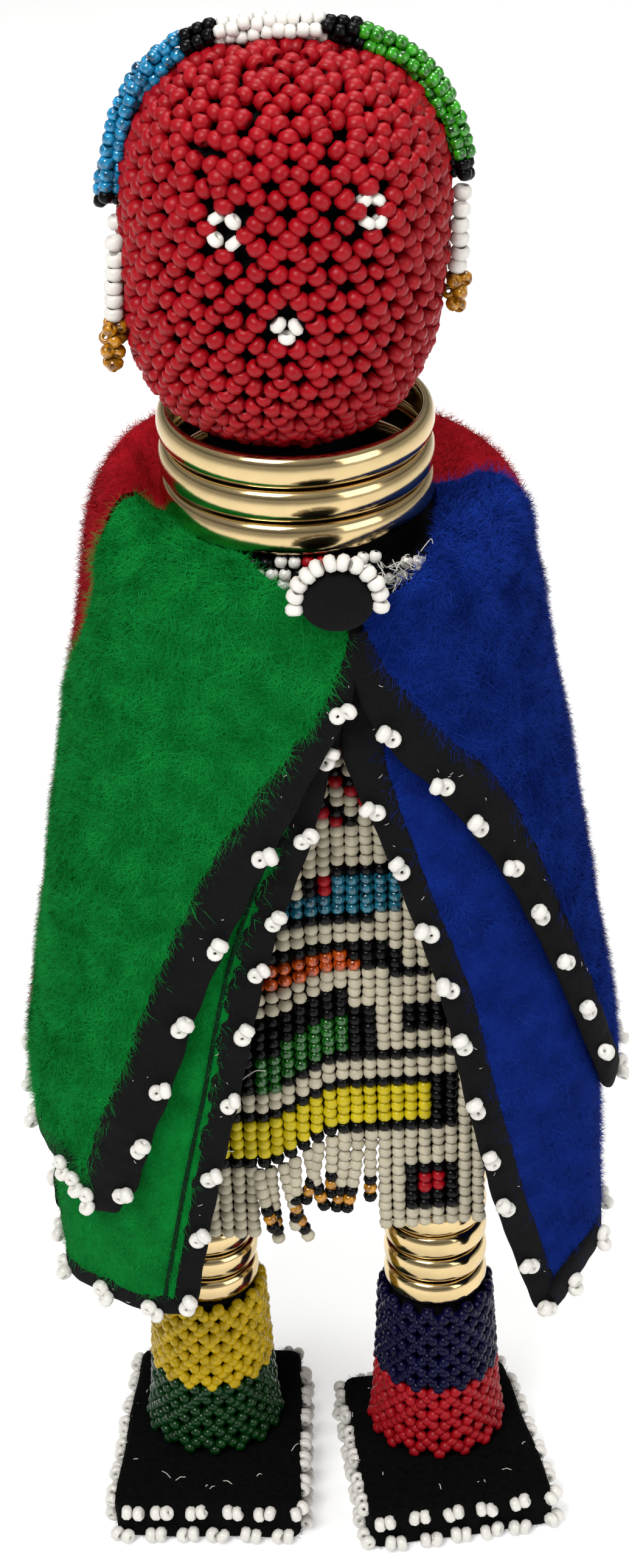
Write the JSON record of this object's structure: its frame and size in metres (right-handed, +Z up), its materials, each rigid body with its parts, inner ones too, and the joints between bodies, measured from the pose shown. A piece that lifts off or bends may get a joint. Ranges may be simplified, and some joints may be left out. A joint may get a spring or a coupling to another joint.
{
  "type": "beaded doll",
  "caption": "Standing stuffed doll with a net of glass beads on its head, metal neck and leg rings, a bead-woven apron, a two-layer fleece cape and block shoes.",
  "frame": {"origin": "middle of the doll's box, on the surface it stands on", "axes": "+Z up; the doll faces -Y; +X is to the right of someone who faces it"},
  "size_m": [0.1042, 0.0746, 0.2811],
  "materials": {
    "black_cloth": "matt black cotton cloth",
    "red_beads": "opaque red glass seed beads",
    "white_beads": "opaque white glass seed beads",
    "black_beads": "opaque black glass seed beads",
    "blue_glass_beads": "transparent blue glass seed beads",
    "green_glass_beads": "transparent green glass seed beads",
    "amber_glass_beads": "transparent amber glass seed beads",
    "yellow_glass_beads": "transparent yellow glass seed beads",
    "dark_green_glass_beads": "transparent dark green glass seed beads",
    "navy_beads": "opaque navy glass seed beads",
    "gold_metal": "polished gold-coloured metal",
    "green_fleece": "brushed green fleece",
    "blue_fleece": "brushed blue fleece",
    "red_fleece": "brushed red fleece",
    "woven_beads": "woven panel of opaque cream glass beads with coloured bands",
    "black_felt": "black felt"
  },
  "bodies": {
    "root": {"stuffed_body": "black_cloth", "head_bead_net": "red_beads", "headband_black_1": "black_beads", "headband_blue": "blue_glass_beads", "headband_black_2": "black_beads", "headband_white": "white_beads", "headband_black_3": "black_beads", "headband_green": "green_glass_beads", "headband_black_4": "black_beads", "ear_strand_left": "white_beads", "ear_drop_left": "amber_glass_beads", "ear_strand_right": "white_beads", "ear_drop_right": "amber_glass_beads", "neck_ring_1": "gold_metal", "neck_ring_2": "gold_metal", "neck_ring_3": "gold_metal", "cape_green": "green_fleece", "binding_green": "black_cloth", "cape_blue": "blue_fleece", "binding_blue": "black_cloth", "cape_red_back": "red_fleece", "binding_back": "black_cloth", "underlayer_green": "green_fleece", "binding_under_green": "black_cloth", "underlayer_blue": "blue_fleece", "binding_under_blue": "black_cloth", "underlayer_back": "red_fleece", "binding_under_back": "black_cloth", "cape_button": "black_cloth", "button_bead_strand": "white_beads", "chest_bead_strip": "white_beads", "apron": "woven_beads", "apron_fringe": "woven_beads", "left_leg": "black_cloth", "left_anklet_green": "dark_green_glass_beads", "left_anklet_yellow": "yellow_glass_beads", "left_leg_ring_1": "gold_metal", "left_leg_ring_2": "gold_metal", "left_leg_ring_3": "gold_metal", "left_leg_ring_4": "gold_metal", "left_leg_ring_5": "gold_metal", "right_leg": "black_cloth", "right_anklet_red": "red_beads", "right_anklet_navy": "navy_beads", "right_leg_ring_1": "gold_metal", "right_leg_ring_2": "gold_metal", "right_leg_ring_3": "gold_metal", "right_leg_ring_4": "gold_metal", "right_leg_ring_5": "gold_metal", "left_shoe": "black_felt", "right_shoe": "black_felt"}
  },
  "joints": []
}
